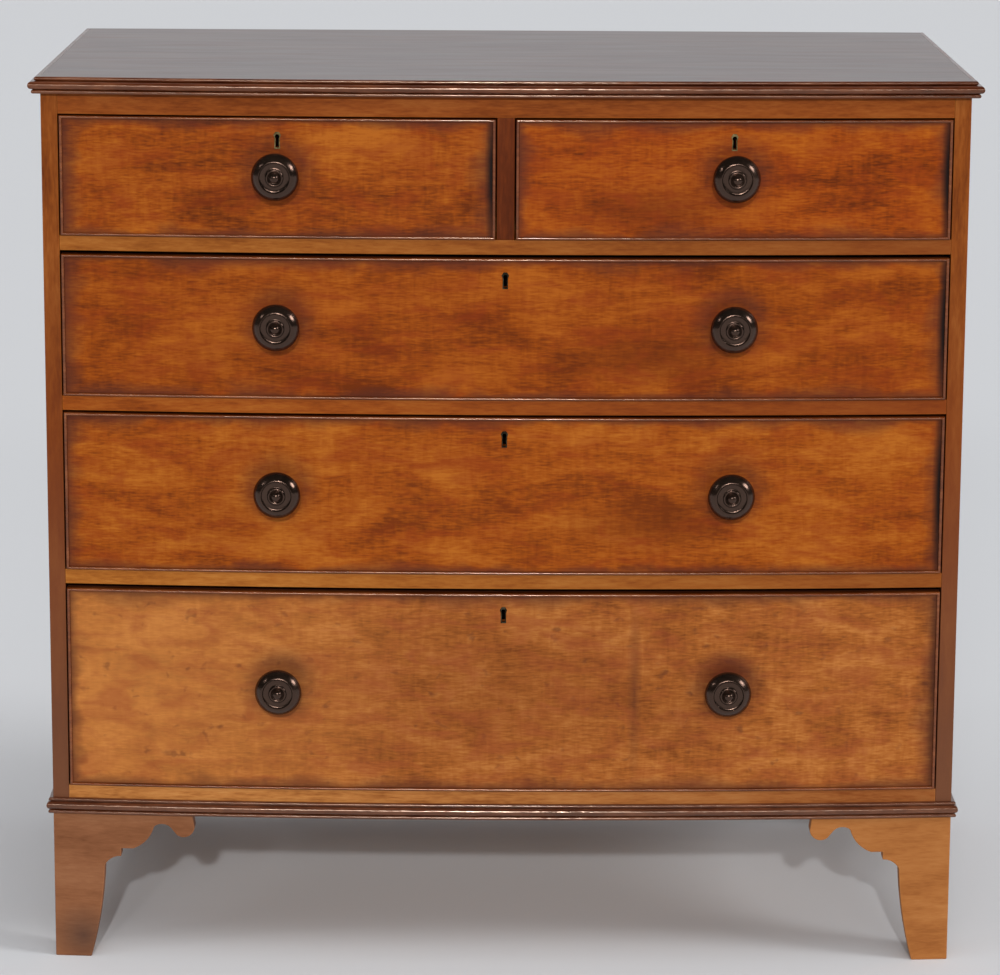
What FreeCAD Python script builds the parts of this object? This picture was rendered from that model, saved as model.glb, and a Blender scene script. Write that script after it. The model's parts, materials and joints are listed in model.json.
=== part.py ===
# A bow front chest of two short and three long drawers, in millimetres, +Z up, front towards -Y.
# In plan the front is one arc, struck from a centre far behind the chest. Rails, drawer fronts,
# cock beads, mouldings and front feet all follow arcs about that same centre.
import FreeCAD
import Part
import Sketcher
import math
import os
import re

# Driving sizes, grouped by the piece that they belong to.
SIZES = {
    # Carcass, with its depth taken at the sides, where the front is furthest back.
    "carcass_width": 995,
    "carcass_depth": 548,
    "bow_rise": 20,
    "side_thickness": 18,
    "housing_depth": 6,
    "housing_setback": 8,
    "cut_overrun": 40,
    # Back: upright boards in rebates behind the sides.
    "back_thickness": 10,
    "back_rebate": 9,
    "back_board_count": 5,
    "back_board_gap": 0.5,
    # Levels from the floor upwards.
    "foot_height": 166,
    "base_moulding_height": 18,
    "bottom_rail_show": 14,
    "bottom_opening": 229,
    "third_opening": 177,
    "second_opening": 159,
    "short_opening": 131,
    "rail_height": 16,
    "top_rail_height": 22,
    "top_thickness": 18,
    # Rails, runners and the boards between the drawers.
    "rail_depth": 45,
    "runner_width": 40,
    "centre_runner_width": 70,
    "guide_height": 20,
    "dust_board_thickness": 6,
    "dust_board_groove": 5,
    "divider_width": 19,
    "divider_tenon_length": 5,
    "divider_tenon_thickness": 8,
    "divider_shoulder": 28,
    "stop_width": 32,
    "stop_height": 6,
    "stop_near": 120,
    "stop_far": 360,
    # Reeded strips round the top and round the base.
    "top_overhang": 12.5,
    "base_projection": 7,
    # Bracket feet.
    "bracket_length": 157,
    "bracket_thickness": 20,
    "rear_bracket_length": 130,
    "block_width": 19,
    "block_lift": 3,
    # Drawers: gaps round them and the boards that they are made of.
    "running_gap": 0.3,
    "drawer_side_gap": 1.5,
    "short_headroom": 1.5,
    "second_headroom": 4,
    "third_headroom": 2.5,
    "bottom_headroom": 5,
    "front_thickness": 22,
    "drawer_side_thickness": 11,
    "drawer_side_drop": 4,
    "drawer_back_thickness": 10,
    "drawer_back_drop": 5,
    "drawer_back_room": 16,
    "drawer_bottom_thickness": 7,
    "drawer_bottom_lift": 9,
    "drawer_groove_depth": 5,
    "tail_length": 11,
    "tail_flare": 2.5,
    # Cock beads round each drawer front.
    "bead_thickness": 3.2,
    "bead_depth": 9,
    "bead_projection": 2.5,
    # Turned knobs.
    "knob_offset": 244,
    "knob_lift": 3.5,
    "knob_diameter": 51,
    "knob_projection": 34,
    "knob_foot_diameter": 28,
    "knob_spigot_diameter": 14,
    # Locks, their bolts and the brass linings of the keyholes.
    "key_drop": 24,
    "escutcheon_width": 8,
    "escutcheon_height": 18,
    "escutcheon_wall": 1.3,
    "escutcheon_depth": 4,
    "escutcheon_stand": 0.3,
    "lock_width": 52,
    "lock_height": 38,
    "lock_depth": 9.5,
    "key_reach": 5,
    "bolt_width": 18,
    "bolt_depth": 5,
    "bolt_height": 14,
    "bolt_throw": 8,
    "mortise_clearance": 1,
}

# Places worked out from the sizes, as formulas. The origin is on the floor, midway in width and in
# depth, counting the depth from the faces of the knobs to the back of the carcass.
HALF = "(carcass_width / 2)"
INNER = "(carcass_width / 2 - side_thickness)"
BOW = "(((carcass_width / 2) ^ 2 + bow_rise ^ 2) / (2 * bow_rise))"
KNOB_REACH = f"(({BOW} + knob_projection) * sqrt(1 - (knob_offset / {BOW}) ^ 2) - {BOW})"
BACK = f"((carcass_depth + bow_rise + {KNOB_REACH}) / 2)"
SIDE_FRONT = f"({BACK} - carcass_depth)"
APEX = f"({SIDE_FRONT} - bow_rise)"
CENTRE = f"({APEX} + {BOW})"
INSIDE_BACK = f"({BACK} - back_thickness)"
RAIL_BACK = f"({SIDE_FRONT} + rail_depth)"
BOX_BACK = f"({INSIDE_BACK} - drawer_back_room)"
BEAD_SEAT = f"({BOW} - bead_depth)"
FRONT_BACK = f"({BOW} - front_thickness)"

# Levels of the drawer floors and of the carcass above them.
BASE = "foot_height"
BOTTOM_FLOOR = "(foot_height + base_moulding_height + bottom_rail_show)"
THIRD_FLOOR = f"({BOTTOM_FLOOR} + bottom_opening + rail_height)"
SECOND_FLOOR = f"({THIRD_FLOOR} + third_opening + rail_height)"
SHORT_FLOOR = f"({SECOND_FLOOR} + second_opening + rail_height)"
TOP_RAIL_LOW = f"({SHORT_FLOOR} + short_opening)"
TOP_LOW = f"({TOP_RAIL_LOW} + top_rail_height)"
TOP_HIGH = f"({TOP_LOW} + top_thickness)"

# Outlines as corners in shares of a length and a height, each with the bulge of the edge after it:
# the bulge is the rise of an arc over half its chord, positive where the arc swells outwards.
# On small sections an arc is worked as flats, and this is the turn from one flat to the next.
FLAT_TURN = math.radians(60)
BRACKET_SHARES = (
    (0, 0, 0),
    (0.255, 0, 0.056),
    (0.360, 0.639, -0.3),
    (0.478, 0.705, 0),
    (0.478, 0.759, 0),
    (0.561, 0.759, 0.25),
    (0.713, 0.916, -0.37),
    (0.828, 0.913, 0),
    (0.873, 0.861, 0.6),
    (1, 0.916, 0),
    (0.987, 1, 0),
    (0, 1, 0),
)
REAR_BRACKET_SHARES = ((0, 0, 0), (0.3, 0, 0), (0.45, 0.6, 0.2), (1, 0.88, 0), (1, 1, 0), (0, 1, 0))
TOP_REED_SHARES = (
    (0, 0, 0),
    (0.544, 0, 1),
    (0.544, 0.244, 0),
    (0.672, 0.272, 1),
    (0.672, 0.728, 0),
    (0.304, 0.756, 1),
    (0.304, 1, 0),
    (0, 1, 0),
)
BASE_REED_SHARES = (
    (0, 0, 0),
    (0.43, 0, 1),
    (0.43, 0.24, 0),
    (0.357, 0.26, 1),
    (0.357, 0.76, 0),
    (0.357, 0.78, 1),
    (0.357, 1, 0),
    (0, 1, 0),
)
KEYHOLE_SHARES = ((0.12, 0, 0), (0.88, 0, 0), (0.821, 0.608, 2.75), (0.179, 0.608, 0))
# The knob's rings beyond its foot, in shares of its radius and of its projection.
KNOB_SHARES = (
    (0.41, 0.25),
    (0.85, 0.50),
    (1, 0.60),
    (1, 0.72),
    (0.86, 0.83),
    (0.60, 0.79),
    (0.44, 0.90),
    (0.18, 1),
)
KNOB_FOOT_SHARE = 0.07
KNOB_SIDES = 12
# How much of a drawer side's height its dovetails take up where they leave the side.
TAIL_SHARE = 0.7

QUARTER_TURN = "90 deg"
UPENDED = FreeCAD.Rotation(FreeCAD.Vector(1, 0, 0), 90)
SIZE_NAME = re.compile(r"[a-z_]\w*")

doc = FreeCAD.newDocument("BowFrontChest")
sheet = doc.addObject("Spreadsheet::Sheet", "Sizes")
for row, (size_name, size) in enumerate(SIZES.items(), start=1):
    sheet.set(f"A{row}", size_name)
    sheet.set(f"B{row}", str(size))
    sheet.setAlias(f"B{row}", size_name)
doc.recompute()
NODES = []


def sized(formula):
    """The formula with each size name pointed at its cell."""
    return SIZE_NAME.sub(lambda word: f"Sizes.{word[0]}" if word[0] in SIZES else word[0], formula)


def number(formula):
    """The formula's value at the present sizes."""
    filled = SIZE_NAME.sub(lambda word: str(SIZES[word[0]]) if word[0] in SIZES else word[0], formula)
    return FreeCAD.Units.Quantity(filled).Value


def bind(thing, **formulas):
    for size, formula in formulas.items():
        thing.setExpression(size, sized(formula))


def place(thing, x, y, z, turn=None):
    for axis, formula in zip("xyz", (x, y, z)):
        thing.setExpression(f"Placement.Base.{axis}", sized(formula))
    if turn:
        thing.setExpression("Placement.Rotation.Angle", sized(turn))


def node(thing, label):
    thing.Label = label
    NODES.append(thing)


def board(name, x, y, z):
    """A squared board between two limits along each axis."""
    piece = doc.addObject("Part::Box", name)
    bind(piece, Length=f"{x[1]} - ({x[0]})", Width=f"{y[1]} - ({y[0]})", Height=f"{z[1]} - ({z[0]})")
    place(piece, x[0], y[0], z[0])
    return piece


def drum(name, radius, z):
    """A round block about the bow's centre, whose front is an arc of the given radius."""
    piece = doc.addObject("Part::Cylinder", name)
    bind(piece, Radius=radius, Height=f"{z[1]} - ({z[0]})")
    place(piece, "0", CENTRE, z[0])
    return piece


def common(name, *shapes):
    piece = doc.addObject("Part::MultiCommon", name)
    piece.Shapes = list(shapes)
    return piece


def fuse(name, *shapes):
    piece = doc.addObject("Part::MultiFuse", name)
    piece.Shapes = list(shapes)
    piece.Refine = True
    return piece


def cut(name, piece, *tools):
    for count, tool in enumerate(tools):
        left_over = doc.addObject("Part::Cut", f"{name}_{count}")
        left_over.Base = piece
        left_over.Tool = tool
        piece = left_over
    return piece


def group(name, *pieces):
    piece = doc.addObject("Part::Compound", name)
    piece.Links = list(pieces)
    return piece


def mirrored(name, source, normal=FreeCAD.Vector(1, 0, 0)):
    """The same piece for the other side of the plane through the origin."""
    piece = doc.addObject("Part::Mirroring", name)
    piece.Source = source
    piece.Normal = normal
    return piece


def bowed_board(name, x, z, radius, back):
    """A board whose front follows the bow at a radius and whose back is flat."""
    blank = board(f"{name}_blank", x, (f"{CENTRE} - {radius} - cut_overrun", back), z)
    return common(name, blank, drum(f"{name}_drum", radius, z))


def ring(name, outer, inner, z):
    """A curved plank of even thickness between two radii of the bow."""
    return cut(name, drum(f"{name}_outer", outer, z), drum(f"{name}_inner", inner, z))


def bow_depth(x, radius=BOW):
    """Where an arc of the bow stands at a distance from the middle."""
    return f"({CENTRE} - sqrt({radius} ^ 2 - ({x}) ^ 2))"


def on_bow(station, across, inward):
    """A point beside a station of the front, measured along it and straight into it."""
    sine = f"(({station}) / {BOW})"
    cosine = f"sqrt(1 - {sine} ^ 2)"
    x = f"{station} + ({across}) * {cosine} - ({inward}) * {sine}"
    y = f"{CENTRE} - {BOW} * {cosine} + ({across}) * {sine} + ({inward}) * {cosine}"
    return x, y


def bow_turn(station):
    return f"asin(({station}) / {BOW})"


def bow_board(name, station, across, inward, z):
    """A squared board let in square to the front at a station."""
    piece = doc.addObject("Part::Box", name)
    bind(piece, Length=f"{across[1]} - ({across[0]})", Width=f"{inward[1]} - ({inward[0]})")
    bind(piece, Height=f"{z[1]} - ({z[0]})")
    x, y = on_bow(station, across[0], inward[0])
    place(piece, x, y, z[0], bow_turn(station))
    return piece


def mitre_wedge(name, across, along, z):
    """A block over the whole front, whose slanted ends are the faces of the mitres at both corners."""
    reach = "(bow_rise + cut_overrun)"
    spread = f"({reach} * ({across}) / ({along}))"
    wide = f"({HALF} + {spread})"
    narrow = f"({HALF} - {spread})"
    low = f"{z[0]} - cut_overrun"
    high = f"{z[1]} + cut_overrun"
    wedge = doc.addObject("Part::Wedge", name)
    bind(wedge, Xmin=f"-{wide}", Xmax=wide, X2min=f"-{narrow}", X2max=narrow)
    bind(wedge, Ymin=f"-{reach}", Ymax=reach, Zmin=low, Z2min=low, Zmax=high, Z2max=high)
    place(wedge, "0", SIDE_FRONT, "0")
    return wedge


def pin_corner(sketch, end, x, y):
    """Holds one end of an edge at its place."""
    level_axis, upright_axis = -1, -2
    origin = (level_axis, 1)
    for kind, formula, axis in (("DistanceX", x, upright_axis), ("DistanceY", y, level_axis)):
        if number(formula) == 0:
            sketch.addConstraint(Sketcher.Constraint("PointOnObject", *end, axis))
        else:
            held = Sketcher.Constraint(kind, *origin, *end, number(formula))
            sketch.setExpression(f"Constraints[{sketch.addConstraint(held)}]", sized(formula))


def draw_outline(sketch, corners):
    """A closed outline through corners of x, y and the bulge of the edge that follows."""
    spots = [FreeCAD.Vector(number(x), number(y), 0) for x, y, _ in corners]
    edges = []
    for spot, next_spot, corner in zip(spots, spots[1:] + spots[:1], corners):
        bulge = corner[2]
        if bulge == 0:
            edges.append((sketch.addGeometry(Part.LineSegment(spot, next_spot)), 1, 2))
            continue
        chord = next_spot - spot
        crown = (spot + next_spot) / 2 + FreeCAD.Vector(chord.y, -chord.x, 0) * (bulge / 2)
        start, end = (spot, next_spot) if bulge > 0 else (next_spot, spot)
        arc = sketch.addGeometry(Part.Arc(start, crown, end))
        sketch.addConstraint(Sketcher.Constraint("Angle", arc, 4 * math.atan(abs(bulge))))
        edges.append((arc, 1, 2) if bulge > 0 else (arc, 2, 1))
    for index, ((edge, first, _), corner) in enumerate(zip(edges, corners)):
        before, _, last = edges[index - 1]
        sketch.addConstraint(Sketcher.Constraint("Coincident", before, last, edge, first))
        pin_corner(sketch, (edge, first), corner[0], corner[1])


def flats(corners):
    """The same outline with each of its arcs worked as a few flats that reach its crown."""
    worked = []
    for (x, y, bulge), (next_x, next_y, _) in zip(corners, corners[1:] + corners[:1]):
        worked.append((x, y, 0))
        half_turn = 2 * math.atan(bulge)
        count = round(abs(2 * half_turn) / FLAT_TURN)
        highest = math.cos(half_turn / count) if count % 2 else 1
        for step in range(1, count):
            lean = half_turn * (2 * step / count - 1)
            along = (1 + math.sin(lean) / math.sin(half_turn)) / 2
            rise = (math.cos(lean) - math.cos(half_turn)) / (highest - math.cos(half_turn))
            across = rise * bulge / 2
            flat_x = f"{x} + {along:.5f} * ({next_x} - ({x})) + {across:.5f} * ({next_y} - ({y}))"
            flat_y = f"{y} + {along:.5f} * ({next_y} - ({y})) - {across:.5f} * ({next_x} - ({x}))"
            worked.append((flat_x, flat_y, 0))
    return worked


def share_corners(shares, length, height):
    return [(f"{x} * ({length})", f"{z} * ({height})", bulge) for x, z, bulge in shares]


def sketched_body(name, plane, corners):
    """A body with one closed outline on one of its own origin planes."""
    body = doc.addObject("PartDesign::Body", name)
    origin = {part.Role: part for part in body.Origin.OriginFeatures}
    sketch = body.newObject("Sketcher::SketchObject", f"{name}_outline")
    sketch.AttachmentSupport = (origin[plane], [""])
    sketch.MapMode = "FlatFace"
    draw_outline(sketch, corners)
    return body, sketch, origin


def padded(name, plane, corners, length):
    body, sketch, _ = sketched_body(name, plane, corners)
    pad = body.newObject("PartDesign::Pad", f"{name}_pad")
    pad.Profile = sketch
    bind(pad, Length=length)
    return body


def swept_round_bow(name, corners, radius, low):
    """An outline carried round the bow, past both sides of the chest."""
    body, sketch, origin = sketched_body(name, "XZ_Plane", corners)
    sketch.setExpression("AttachmentOffset.Base.x", sized(radius))
    sweep = body.newObject("PartDesign::Revolution", f"{name}_sweep")
    sweep.Profile = sketch
    sweep.ReferenceAxis = (origin["Z_Axis"], [""])
    sweep.Midplane = True
    bind(sweep, Angle=f"2 * asin(({HALF} + cut_overrun) / {BOW})")
    place(body, "0", CENTRE, low, f"-{QUARTER_TURN}")
    return body


def reeded_strips(name, shares, projection, low, height):
    """A reeded strip along the front and both sides, mitred at the front corners."""
    z = (low, f"({low} + {height})")
    corners = flats(share_corners(shares, projection, height))
    outer_corner = bow_depth(f"{HALF} + {projection}", f"({BOW} + {projection})")
    mitre = mitre_wedge(f"{name}_mitre", projection, f"{SIDE_FRONT} - {outer_corner}", z)
    front = common(f"{name}_front_mitred", swept_round_bow(f"{name}_front", corners, BOW, low), mitre)
    right = padded(f"{name}_right", "XZ_Plane", corners, f"{BACK} - {outer_corner}")
    place(right, HALF, BACK, low)
    right = cut(f"{name}_right_mitred", right, mitre)
    node(group(name, front, right, mirrored(f"{name}_left", right)), name)


def carcass_sides(levels):
    """Two upright sides, grooved across for each level and rebated behind for the back."""
    upright = (BASE, TOP_LOW)
    blank = bowed_board("left_side_board", (f"-{HALF}", f"-{INNER}"), upright, BOW, BACK)
    groove_end = f"{INNER} + housing_depth"
    grooves = []
    for level, z in levels.items():
        x = (f"-({groove_end})", groove_end)
        grooves.append(bowed_board(f"{level}_housing", x, z, f"({BOW} - housing_setback)", INSIDE_BACK))
    rebate = board("left_rebate", (f"-{INNER} - back_rebate", f"-{INNER}"), (INSIDE_BACK, BACK), upright)
    left = cut("left_side_cut", blank, rebate, *grooves)
    node(left, "left_side")
    node(mirrored("right_side_mirror", left), "right_side")


def front_rail(label, z, housed, *mortises):
    """A rail across the front, with stopped ends let into the sides."""
    shown = bowed_board(f"{label}_shown", (f"-{INNER}", INNER), z, BOW, RAIL_BACK)
    end = f"{INNER} + housing_depth"
    setback = f"({BOW} - housing_setback)"
    hidden = bowed_board(f"{label}_ends", (f"-({end})", end), housed, setback, RAIL_BACK)
    node(cut(f"{label}_cut", fuse(f"{label}_whole", shown, hidden), *mortises), label)


def bolt_mortise(name, station, rail_low):
    """The slot in a rail's underside that takes a raised lock bolt."""
    across = "bolt_width / 2 + mortise_clearance"
    near = "front_thickness - (lock_depth + bolt_depth) / 2 - mortise_clearance"
    far = "front_thickness - (lock_depth - bolt_depth) / 2 + mortise_clearance"
    z = (f"{rail_low} - cut_overrun", f"{rail_low} + bolt_throw")
    return bow_board(name, station, (f"-({across})", across), (near, far), z)


def below(floor):
    """The levels of the rail whose top is a drawer's floor."""
    return f"({floor} - rail_height)", floor


def front_frame():
    """Rails and the short upright that divides the two short drawers."""
    tenon_x = ("-divider_tenon_thickness / 2", "divider_tenon_thickness / 2")
    tenon_y = (f"{APEX} + divider_shoulder", RAIL_BACK)
    tenon_z = (f"{SHORT_FLOOR} - divider_tenon_length", f"{TOP_RAIL_LOW} + divider_tenon_length")
    tenon = board("divider_tenon", tenon_x, tenon_y, tenon_z)
    upright_x = ("-divider_width / 2", "divider_width / 2")
    upright = bowed_board("divider_upright", upright_x, (SHORT_FLOOR, TOP_RAIL_LOW), BOW, RAIL_BACK)
    top_z = (TOP_RAIL_LOW, TOP_LOW)
    left_slot = bolt_mortise("short_left_mortise", "-knob_offset", TOP_RAIL_LOW)
    right_slot = bolt_mortise("short_right_mortise", "knob_offset", TOP_RAIL_LOW)
    front_rail("top_rail", top_z, top_z, tenon, left_slot, right_slot)
    upper = below(SHORT_FLOOR)
    front_rail("upper_rail", upper, upper, tenon, bolt_mortise("second_mortise", "0", upper[0]))
    middle = below(SECOND_FLOOR)
    front_rail("middle_rail", middle, middle, bolt_mortise("third_mortise", "0", middle[0]))
    lower = below(THIRD_FLOOR)
    front_rail("lower_rail", lower, lower, bolt_mortise("bottom_mortise", "0", lower[0]))
    front_rail("bottom_rail", (BASE, BOTTOM_FLOOR), (f"{BOTTOM_FLOOR} - bottom_rail_show", BOTTOM_FLOOR))
    node(fuse("divider_whole", upright, tenon), "centre_divider")


def runners_and_dust_boards():
    """Runners housed in the sides behind each rail, and thin boards held between them."""
    runners = []
    dust_boards = []
    along = (RAIL_BACK, INSIDE_BACK)
    side_x = (f"-{INNER} - housing_depth", f"-{INNER} + runner_width")
    centre_x = ("-centre_runner_width / 2", "centre_runner_width / 2")
    edge = f"({INNER} - runner_width + dust_board_groove)"
    centre_edge = "(centre_runner_width / 2 - dust_board_groove)"
    whole = (f"-{edge}", edge)
    spans = {"upper": (f"-{edge}", f"-{centre_edge}"), "middle": whole, "lower": whole}
    for level, floor in (("upper", SHORT_FLOOR), ("middle", SECOND_FLOOR), ("lower", THIRD_FLOOR)):
        z = below(floor)
        middle = f"{floor} - rail_height / 2"
        thin = (f"{middle} - dust_board_thickness / 2", f"{middle} + dust_board_thickness / 2")
        thin_board = board(f"{level}_dust_board", spans[level], along, thin)
        boards = [thin_board]
        if level == "upper":
            boards.append(mirrored("upper_dust_board_right", thin_board))
            runners.append(cut("centre_runner", board("centre_runner_blank", centre_x, along, z), *boards))
        left = cut(f"{level}_runner", board(f"{level}_runner_blank", side_x, along, z), thin_board)
        runners += [left, mirrored(f"{level}_runner_right", left)]
        dust_boards += boards
    guide_x = ("-divider_width / 2", "divider_width / 2")
    runners.append(board("centre_guide", guide_x, along, (SHORT_FLOOR, f"{SHORT_FLOOR} + guide_height")))
    for name, x in (("kicker", side_x), ("centre_kicker", centre_x)):
        runners.append(board(name, x, along, (TOP_RAIL_LOW, TOP_LOW)))
    runners.append(mirrored("kicker_right", runners[-2]))
    node(group("runner_group", *runners), "drawer_runners")
    node(group("dust_board_group", *dust_boards), "dust_boards")


def drawer_stops():
    """Small blocks on the rails that meet the backs of the drawer fronts."""
    stops = []
    places = {
        SHORT_FLOOR: ("stop_near", "stop_far"),
        SECOND_FLOOR: ("stop_far",),
        THIRD_FLOOR: ("stop_far",),
        BOTTOM_FLOOR: ("stop_far",),
    }
    for floor, stations in places.items():
        for station in stations:
            x = (f"{station} - stop_width / 2", f"{station} + stop_width / 2")
            z = (floor, f"{floor} + stop_height")
            name = f"stop_{len(stops)}"
            right = bowed_board(name, x, z, f"({FRONT_BACK} - running_gap)", RAIL_BACK)
            stops += [right, mirrored(f"{name}_left", right)]
    node(group("stop_group", *stops), "drawer_stops")


def carcass_boards():
    """The top, the bottom board and the upright boards of the back."""
    node(bowed_board("top_panel", (f"-{HALF}", HALF), (TOP_LOW, TOP_HIGH), BOW, BACK), "top_board")
    end = f"{INNER} + housing_depth"
    bottom_z = (f"{BOTTOM_FLOOR} - bottom_rail_show", BOTTOM_FLOOR)
    node(board("bottom_panel", (f"-({end})", end), (RAIL_BACK, INSIDE_BACK), bottom_z), "bottom_board")
    reach = f"({INNER} + back_rebate)"
    pitch = f"(2 * {reach} / back_board_count)"
    boards = []
    for count in range(SIZES["back_board_count"]):
        west = f"{count} * {pitch} - {reach}"
        x = (west, f"{west} + {pitch} - back_board_gap")
        boards.append(board(f"back_board_{count}", x, (INSIDE_BACK, BACK), (BASE, TOP_LOW)))
    node(group("back_group", *boards), "back_boards")


def bracket_feet():
    """Scrolled brackets mitred at the front corners, plain ones behind, and blocks inside them."""
    z = ("0", "foot_height")
    inner = f"({BOW} - bracket_thickness)"
    inner_corner = bow_depth(f"{HALF} - bracket_thickness", inner)
    mitre = mitre_wedge("foot_mitre", "bracket_thickness", f"{inner_corner} - {SIDE_FRONT}", z)
    scroll = share_corners(BRACKET_SHARES, "bracket_length", "foot_height")
    blank = padded("front_bracket_blank", "XZ_Plane", scroll, "bow_rise + bracket_thickness + cut_overrun")
    place(blank, f"-{HALF}", f"{SIDE_FRONT} + bracket_thickness", "0")
    front = common("front_bracket", blank, ring("front_bracket_ring", BOW, inner, z), mitre)
    side = padded("side_bracket", "YZ_Plane", scroll, "bracket_thickness")
    place(side, f"-{HALF}", SIDE_FRONT, "0")
    left = group("front_left_brackets", front, cut("side_bracket_mitred", side, mitre))
    node(left, "front_left_foot")
    node(mirrored("front_right_brackets", left), "front_right_foot")
    rear_side = mirrored("rear_side_bracket", side, FreeCAD.Vector(0, 1, 0))
    rear_side.setExpression("Base.y", sized(f"({SIDE_FRONT} + {BACK}) / 2"))
    plain = share_corners(REAR_BRACKET_SHARES, "rear_bracket_length", "foot_height")
    rear = padded("rear_bracket", "XZ_Plane", plain, "bracket_thickness")
    place(rear, f"-{HALF} + bracket_thickness", BACK, "0")
    rear_left = group("rear_left_brackets", rear_side, rear)
    node(group("rear_brackets", rear_left, mirrored("rear_right_brackets", rear_left)), "rear_feet")
    block_x = (f"-{HALF} + bracket_thickness", f"-{HALF} + bracket_thickness + block_width")
    block_z = ("block_lift", "foot_height")
    front_block = bowed_board("front_block", block_x, block_z, inner, f"{inner_corner} + block_width")
    rear_y = (f"{BACK} - bracket_thickness - block_width", f"{BACK} - bracket_thickness")
    blocks = [front_block, board("rear_block", block_x, rear_y, block_z)]
    blocks += [mirrored(f"{block.Name}_right", block) for block in blocks]
    node(group("block_group", *blocks), "foot_blocks")


def knob_spigot(name, near, far):
    """The knob's round tenon between two depths from the front's face."""
    spigot = doc.addObject("Part::Prism", name)
    spigot.Polygon = KNOB_SIDES
    bind(spigot, Circumradius="knob_spigot_diameter / 2", Height=f"{far} - ({near})")
    spigot.Placement.Rotation = UPENDED
    place(spigot, "0", far, "0")
    return spigot


def turned_knob():
    """One knob, its foot on the front's face and its spigot through the front."""
    foot = "knob_foot_diameter / 2"
    rings = [(foot, "0"), (foot, f"-{KNOB_FOOT_SHARE} * knob_projection")]
    for across, along in KNOB_SHARES:
        rings.append((f"{across} * knob_diameter / 2", f"-{along} * knob_projection"))
    sections = []
    for radius, y in rings:
        section = doc.addObject("Part::RegularPolygon", f"knob_ring_{len(sections)}")
        section.Polygon = KNOB_SIDES
        bind(section, Circumradius=radius)
        section.Placement.Rotation = UPENDED
        place(section, "0", y, "0")
        sections.append(section)
    head = doc.addObject("Part::Loft", "knob_head")
    head.Sections = sections
    head.Solid = True
    head.Ruled = True
    head.Linearize = True
    return fuse("turned_knob", head, knob_spigot("knob_tenon", "0", "front_thickness"))


def fitted(name, piece, station, z):
    """A piece set square to the front at a station."""
    copy = group(name, piece)
    x, y = on_bow(station, "0", "0")
    place(copy, x, y, z, bow_turn(station))
    return copy


def keyhole_solid(name, station, key_z, wall, inward):
    """The keyhole's outline, less a wall, carried through the front between two depths."""
    width = f"(escutcheon_width - 2 * {wall})"
    height = f"(escutcheon_height - 2 * {wall})"
    corners = flats(share_corners(KEYHOLE_SHARES, width, height))
    body = padded(name, "XZ_Plane", corners, f"{inward[1]} - ({inward[0]})")
    x, y = on_bow(station, f"-{width} / 2", inward[1])
    place(body, x, y, f"{key_z} - {height} / 2", bow_turn(station))
    return body


def lock_set(drawer, station, high):
    """Escutcheon, lock and bolt of one drawer; gives back what the drawer front is cut by."""
    key_z = f"{high} - key_drop"
    lining = ("-escutcheon_stand", "escutcheon_depth")
    lining_blank = keyhole_solid(f"{drawer}_lining", station, key_z, "0", lining)
    key_inward = ("-cut_overrun", "front_thickness - lock_depth + key_reach")
    keyway = keyhole_solid(f"{drawer}_keyway", station, key_z, "escutcheon_wall", key_inward)
    node(cut(f"{drawer}_lining_cut", lining_blank, keyway), f"{drawer}_escutcheon")
    case_across = ("-lock_width / 2", "lock_width / 2")
    case_inward = ("front_thickness - lock_depth", "front_thickness")
    case = bow_board(f"{drawer}_case", station, case_across, case_inward, (f"{high} - lock_height", high))
    recess_inward = (case_inward[0], "front_thickness + cut_overrun")
    recess_z = (f"{high} - lock_height", f"{high} + cut_overrun")
    recess = bow_board(f"{drawer}_recess", station, case_across, recess_inward, recess_z)
    bolt_near = "front_thickness - (lock_depth + bolt_depth) / 2"
    bolt_far = "front_thickness - (lock_depth - bolt_depth) / 2"
    slot_across = ("-bolt_width / 2 - running_gap", "bolt_width / 2 + running_gap")
    slot_inward = (f"{bolt_near} - running_gap", f"{bolt_far} + running_gap")
    slot_z = (f"{high} - bolt_height - running_gap", f"{high} + cut_overrun")
    slot = bow_board(f"{drawer}_bolt_slot", station, slot_across, slot_inward, slot_z)
    node(cut(f"{drawer}_case_cut", case, slot, keyway), f"{drawer}_lock")
    bolt_across = ("-bolt_width / 2", "bolt_width / 2")
    bolt_z = (f"{high} - bolt_height", high)
    bolt = bow_board(f"{drawer}_bolt_bar", station, bolt_across, (bolt_near, bolt_far), bolt_z)
    node(bolt, f"{drawer}_lock_bolt")
    return lining_blank, keyway, recess


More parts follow.
